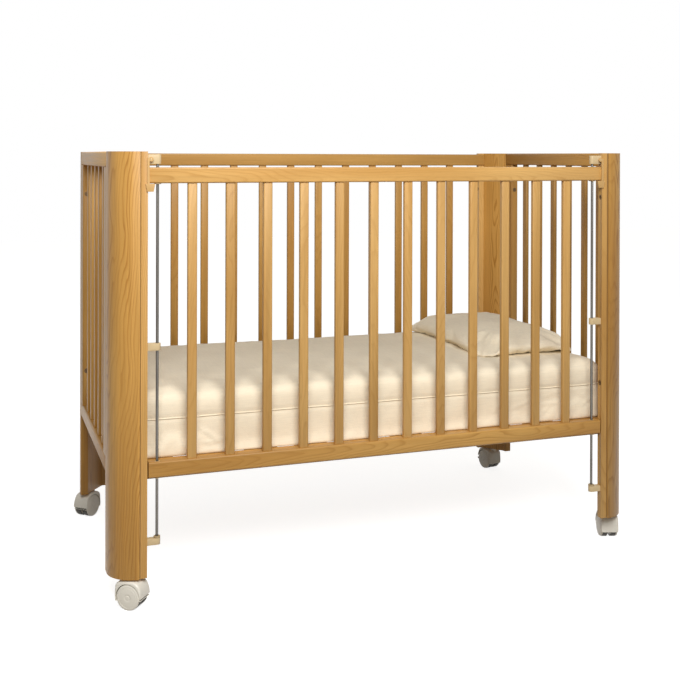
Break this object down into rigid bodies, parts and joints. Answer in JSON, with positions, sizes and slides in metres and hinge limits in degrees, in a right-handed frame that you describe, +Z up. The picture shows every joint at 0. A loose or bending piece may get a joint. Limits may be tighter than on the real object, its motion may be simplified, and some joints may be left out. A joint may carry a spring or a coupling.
{
  "type": "crib",
  "caption": "Wooden crib with rounded corner posts, slatted sides, a drop side that slides on guide rods, a mattress and pillow, and twin-wheel casters.",
  "frame": {"origin": "on the floor, midway between the ends and between the front and the back", "axes": "+X along the length to the right, seen from the drop side; +Y from the drop side to the back; +Z up"},
  "size_m": [1.2573, 0.7008, 0.942],
  "materials": {
    "post_wood": "clear satin lacquer over honey-coloured softwood",
    "strip_wood": "clear satin lacquer",
    "rail_wood": "clear satin lacquer",
    "slat_wood": "clear satin lacquer",
    "base_wood": "planed, bare",
    "steel": "zinc plated",
    "bracket_plastic": "cream moulded nylon",
    "caster_plastic": "cream moulded nylon",
    "tread_rubber": "matt dark grey",
    "mattress_cloth": "plain cream cotton cover",
    "pillow_cloth": "plain cream cotton cover"
  },
  "bodies": {
    "root": {"post_front_left": "post_wood", "post_front_right": "post_wood", "post_back_left": "post_wood", "post_back_right": "post_wood", "strip_front_left": "strip_wood", "strip_front_right": "strip_wood", "strip_back_left": "strip_wood", "strip_back_right": "strip_wood", "left_end_top_rail": "rail_wood", "left_end_bottom_rail": "rail_wood", "left_end_stiles": "rail_wood", "left_end_slats": "slat_wood", "right_end_top_rail": "rail_wood", "right_end_bottom_rail": "rail_wood", "right_end_stiles": "rail_wood", "right_end_slats": "slat_wood", "back_top_rail": "rail_wood", "back_bottom_rail": "rail_wood", "back_slats": "slat_wood", "base_bearers": "base_wood", "base_slats": "base_wood", "base_irons": "steel", "base_bolts": "steel", "end_bolts": "steel", "strip_bolts": "steel", "guide_rods": "steel", "rod_stops": "tread_rubber", "top_brackets": "bracket_plastic", "middle_brackets": "bracket_plastic", "bottom_brackets": "bracket_plastic", "caster_sockets": "steel"},
    "drop_side": {"drop_top_rail": "rail_wood", "drop_bottom_rail": "rail_wood", "drop_slats": "slat_wood", "drop_bushes": "bracket_plastic"},
    "catch_left": {"catch_left": "bracket_plastic"},
    "catch_right": {"catch_right": "bracket_plastic"},
    "mattress": {"mattress": "mattress_cloth"},
    "pillow": {"pillow": "pillow_cloth"},
    "swivel_front_left": {"caster_front_left_fork": "caster_plastic", "caster_axles_front_left": "steel"},
    "wheels_front_left": {"caster_front_left_wheels": "caster_plastic", "caster_front_left_treads": "tread_rubber"},
    "swivel_front_right": {"caster_front_right_fork": "caster_plastic", "caster_axles_front_right": "steel"},
    "wheels_front_right": {"caster_front_right_wheels": "caster_plastic", "caster_front_right_treads": "tread_rubber"},
    "swivel_back_left": {"caster_back_left_fork": "caster_plastic", "caster_axles_back_left": "steel"},
    "wheels_back_left": {"caster_back_left_wheels": "caster_plastic", "caster_back_left_treads": "tread_rubber"},
    "swivel_back_right": {"caster_back_right_fork": "caster_plastic", "caster_axles_back_right": "steel"},
    "wheels_back_right": {"caster_back_right_wheels": "caster_plastic", "caster_back_right_treads": "tread_rubber"}
  },
  "joints": [
    {"name": "drop_slide", "type": "slide", "parent": "root", "child": "drop_side", "axis": [0, 0, -1], "range_m": [0, 0.12]},
    {"name": "catch_left_swing", "type": "hinge", "parent": "root", "child": "catch_left", "pos_m": [-0.538, -0.333, 0.926], "axis": [0, 1, 0], "range_deg": [0, 8], "stiffness_Nm_per_rad": 0.02, "springref_deg": -11.46},
    {"name": "catch_right_swing", "type": "hinge", "parent": "root", "child": "catch_right", "pos_m": [0.538, -0.333, 0.926], "axis": [0, -1, 0], "range_deg": [0, 8], "stiffness_Nm_per_rad": 0.02, "springref_deg": -11.46},
    {"name": "mattress_lift", "type": "slide", "parent": "root", "child": "mattress", "axis": [0, 0, 1], "range_m": [0, 0.65]},
    {"name": "pillow_lift", "type": "slide", "parent": "mattress", "child": "pillow", "axis": [0, 0, 1], "range_m": [0, 0.3]},
    {"name": "swivel_front_left", "type": "hinge", "parent": "root", "child": "swivel_front_left", "pos_m": [-0.587, -0.301, 0.053], "axis": [0, 0, 1], "continuous": true},
    {"name": "roll_front_left", "type": "hinge", "parent": "swivel_front_left", "child": "wheels_front_left", "pos_m": [-0.57124, -0.31331, 0.0265], "axis": [0.6157, 0.788, 0], "continuous": true},
    {"name": "swivel_front_right", "type": "hinge", "parent": "root", "child": "swivel_front_right", "pos_m": [0.587, -0.301, 0.053], "axis": [0, 0, 1], "continuous": true},
    {"name": "roll_front_right", "type": "hinge", "parent": "swivel_front_right", "child": "wheels_front_right", "pos_m": [0.59318, -0.28198, 0.0265], "axis": [-0.9511, 0.309, 0], "continuous": true},
    {"name": "swivel_back_left", "type": "hinge", "parent": "root", "child": "swivel_back_left", "pos_m": [-0.587, 0.301, 0.053], "axis": [0, 0, 1], "continuous": true},
    {"name": "roll_back_left", "type": "hinge", "parent": "swivel_back_left", "child": "wheels_back_left", "pos_m": [-0.60038, 0.28614, 0.0265], "axis": [0.7431, -0.6691, 0], "continuous": true},
    {"name": "swivel_back_right", "type": "hinge", "parent": "root", "child": "swivel_back_right", "pos_m": [0.587, 0.301, 0.053], "axis": [0, 0, 1], "continuous": true},
    {"name": "roll_back_right", "type": "hinge", "parent": "swivel_back_right", "child": "wheels_back_right", "pos_m": [0.58387, 0.32075, 0.0265], "axis": [-0.9877, -0.1564, 0], "continuous": true}
  ]
}
